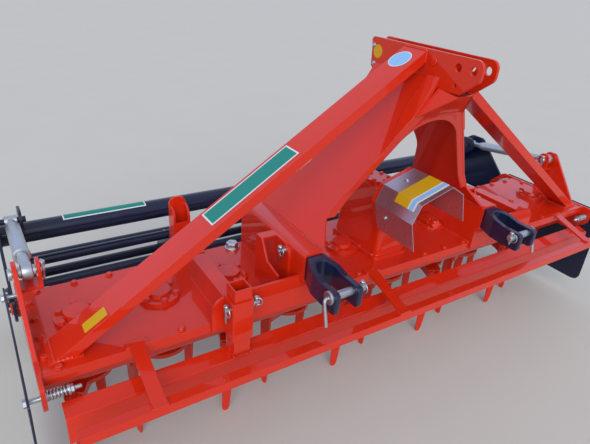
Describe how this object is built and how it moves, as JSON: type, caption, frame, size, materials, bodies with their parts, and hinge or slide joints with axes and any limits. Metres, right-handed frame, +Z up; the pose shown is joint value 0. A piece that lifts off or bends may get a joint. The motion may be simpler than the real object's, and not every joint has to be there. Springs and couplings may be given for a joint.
{
  "type": "power harrow",
  "caption": "Tractor-mounted power harrow: gear trough with upright tine rotors, levelling bar, sloping headstock and a cage roller on adjustable links.",
  "frame": {"origin": "on the ground under the middle of the footprint, at rest on its tines and roller", "axes": "+X to the right seen from behind, +Y to the rear where the roller is, -Y to the tractor, +Z up"},
  "size_m": [2.624, 1.29, 1.302],
  "materials": {
    "red_paint": "gloss",
    "navy_paint": "gloss",
    "zinc": "satin",
    "hood_sheet": "satin",
    "gear_steel": "matte"
  },
  "bodies": {
    "rotor_01": {"rotor_01": "red_paint", "tines_01": "red_paint"},
    "rotor_02": {"rotor_02": "red_paint", "tines_02": "red_paint"},
    "rotor_03": {"rotor_03": "red_paint", "tines_03": "red_paint"},
    "rotor_04": {"rotor_04": "red_paint", "tines_04": "red_paint"},
    "rotor_05": {"rotor_05": "red_paint", "tines_05": "red_paint"},
    "rotor_06": {"rotor_06": "red_paint", "tines_06": "red_paint"},
    "rotor_07": {"rotor_07": "red_paint", "tines_07": "red_paint"},
    "rotor_08": {"rotor_08": "red_paint", "tines_08": "red_paint"},
    "rotor_09": {"rotor_09": "red_paint", "tines_09": "red_paint"},
    "rotor_10": {"rotor_10": "red_paint", "tines_10": "red_paint"},
    "input_shaft": {"input_shaft": "red_paint"},
    "levelling_bar": {"levelling_bar": "red_paint"},
    "roller_frame": {"roller_frame": "navy_paint"},
    "roller_drum": {"roller_drum": "navy_paint"},
    "link_fork_left": {"link_fork_left": "zinc"},
    "link_barrel_left": {"link_barrel_left": "zinc"},
    "link_fork_right": {"link_fork_right": "zinc"},
    "link_barrel_right": {"link_barrel_right": "zinc"},
    "frame": {"arch_plate": "red_paint", "deflector_left": "navy_paint", "deflector_right": "navy_paint", "end_plate_left": "red_paint", "end_plate_right": "red_paint", "fork_left": "navy_paint", "fork_right": "navy_paint", "front_plate_left": "red_paint", "front_plate_right": "red_paint", "gear_row": "gear_steel", "gearbox": "red_paint", "guard_bar": "red_paint", "hitch_box_left": "red_paint", "hitch_box_right": "red_paint", "hitch_pin_left": "zinc", "hitch_pin_right": "zinc", "leg_left": "red_paint", "leg_right": "red_paint", "link_bracket_left": "red_paint", "link_bracket_right": "red_paint", "post_beam": "red_paint", "post_beam_right": "red_paint", "post_sleeve": "red_paint", "pto_hood": "hood_sheet", "rear_hook_left": "red_paint", "rear_hook_right": "red_paint", "stay_left": "red_paint", "stay_right": "red_paint", "top_cover": "red_paint", "top_link_bracket": "red_paint", "trough": "red_paint"}
  },
  "joints": [
    {"name": "rotor_01_turn", "type": "hinge", "parent": "frame", "child": "rotor_01", "pos_m": [-1.125, -0.215, 0.318], "axis": [0, 0, 1], "continuous": true},
    {"name": "rotor_02_turn", "type": "hinge", "parent": "frame", "child": "rotor_02", "pos_m": [-0.875, -0.215, 0.318], "axis": [0, 0, 1], "continuous": true},
    {"name": "rotor_03_turn", "type": "hinge", "parent": "frame", "child": "rotor_03", "pos_m": [-0.625, -0.215, 0.318], "axis": [0, 0, 1], "continuous": true},
    {"name": "rotor_04_turn", "type": "hinge", "parent": "frame", "child": "rotor_04", "pos_m": [-0.375, -0.215, 0.318], "axis": [0, 0, 1], "continuous": true},
    {"name": "rotor_05_turn", "type": "hinge", "parent": "frame", "child": "rotor_05", "pos_m": [-0.125, -0.215, 0.318], "axis": [0, 0, 1], "continuous": true},
    {"name": "rotor_06_turn", "type": "hinge", "parent": "frame", "child": "rotor_06", "pos_m": [0.125, -0.215, 0.318], "axis": [0, 0, 1], "continuous": true},
    {"name": "rotor_07_turn", "type": "hinge", "parent": "frame", "child": "rotor_07", "pos_m": [0.375, -0.215, 0.318], "axis": [0, 0, 1], "continuous": true},
    {"name": "rotor_08_turn", "type": "hinge", "parent": "frame", "child": "rotor_08", "pos_m": [0.625, -0.215, 0.318], "axis": [0, 0, 1], "continuous": true},
    {"name": "rotor_09_turn", "type": "hinge", "parent": "frame", "child": "rotor_09", "pos_m": [0.875, -0.215, 0.318], "axis": [0, 0, 1], "continuous": true},
    {"name": "rotor_10_turn", "type": "hinge", "parent": "frame", "child": "rotor_10", "pos_m": [1.125, -0.215, 0.318], "axis": [0, 0, 1], "continuous": true},
    {"name": "input_shaft_turn", "type": "hinge", "parent": "frame", "child": "input_shaft", "pos_m": [0, -0.373, 0.742], "axis": [0, -1, 0], "continuous": true},
    {"name": "levelling_bar_slide", "type": "slide", "parent": "frame", "child": "levelling_bar", "axis": [0, 0, 1], "range_m": [-0.12, 0]},
    {"name": "roller_depth", "type": "hinge", "parent": "frame", "child": "roller_frame", "pos_m": [0, 0.075, 0.4], "axis": [1, 0, 0], "range_deg": [-5, 12]},
    {"name": "roller_drum_turn", "type": "hinge", "parent": "roller_frame", "child": "roller_drum", "pos_m": [0, 0.465, 0.18], "axis": [1, 0, 0], "continuous": true},
    {"name": "link_left_swing", "type": "hinge", "parent": "frame", "child": "link_fork_left", "pos_m": [-1.233, -0.185, 0.69], "axis": [1, 0, 0], "range_deg": [-1.92, 4.6]},
    {"name": "link_left_length", "type": "slide", "parent": "link_fork_left", "child": "link_barrel_left", "axis": [0, 0.9895, -0.1443], "range_m": [-0.05224, 0.02177]},
    {"name": "link_right_swing", "type": "hinge", "parent": "frame", "child": "link_fork_right", "pos_m": [1.233, -0.185, 0.69], "axis": [1, 0, 0], "range_deg": [-1.92, 4.6]},
    {"name": "link_right_length", "type": "slide", "parent": "link_fork_right", "child": "link_barrel_right", "axis": [0, 0.9895, -0.1443], "range_m": [-0.05224, 0.02177]}
  ],
  "couplings": [
    {"joint": "rotor_02_turn", "follows": "rotor_01_turn", "ratio": -1},
    {"joint": "rotor_03_turn", "follows": "rotor_01_turn", "ratio": 1},
    {"joint": "rotor_04_turn", "follows": "rotor_01_turn", "ratio": -1},
    {"joint": "rotor_05_turn", "follows": "rotor_01_turn", "ratio": 1},
    {"joint": "rotor_06_turn", "follows": "rotor_01_turn", "ratio": -1},
    {"joint": "rotor_07_turn", "follows": "rotor_01_turn", "ratio": 1},
    {"joint": "rotor_08_turn", "follows": "rotor_01_turn", "ratio": -1},
    {"joint": "rotor_09_turn", "follows": "rotor_01_turn", "ratio": 1},
    {"joint": "rotor_10_turn", "follows": "rotor_01_turn", "ratio": -1},
    {"joint": "input_shaft_turn", "follows": "rotor_01_turn", "ratio": 3},
    {"joint": "link_left_swing", "follows": "roller_depth", "ratio": 0.38334},
    {"joint": "link_left_length", "follows": "roller_depth", "m_per_rad": -0.24945},
    {"joint": "link_right_swing", "follows": "roller_depth", "ratio": 0.38334},
    {"joint": "link_right_length", "follows": "roller_depth", "m_per_rad": -0.24945}
  ]
}
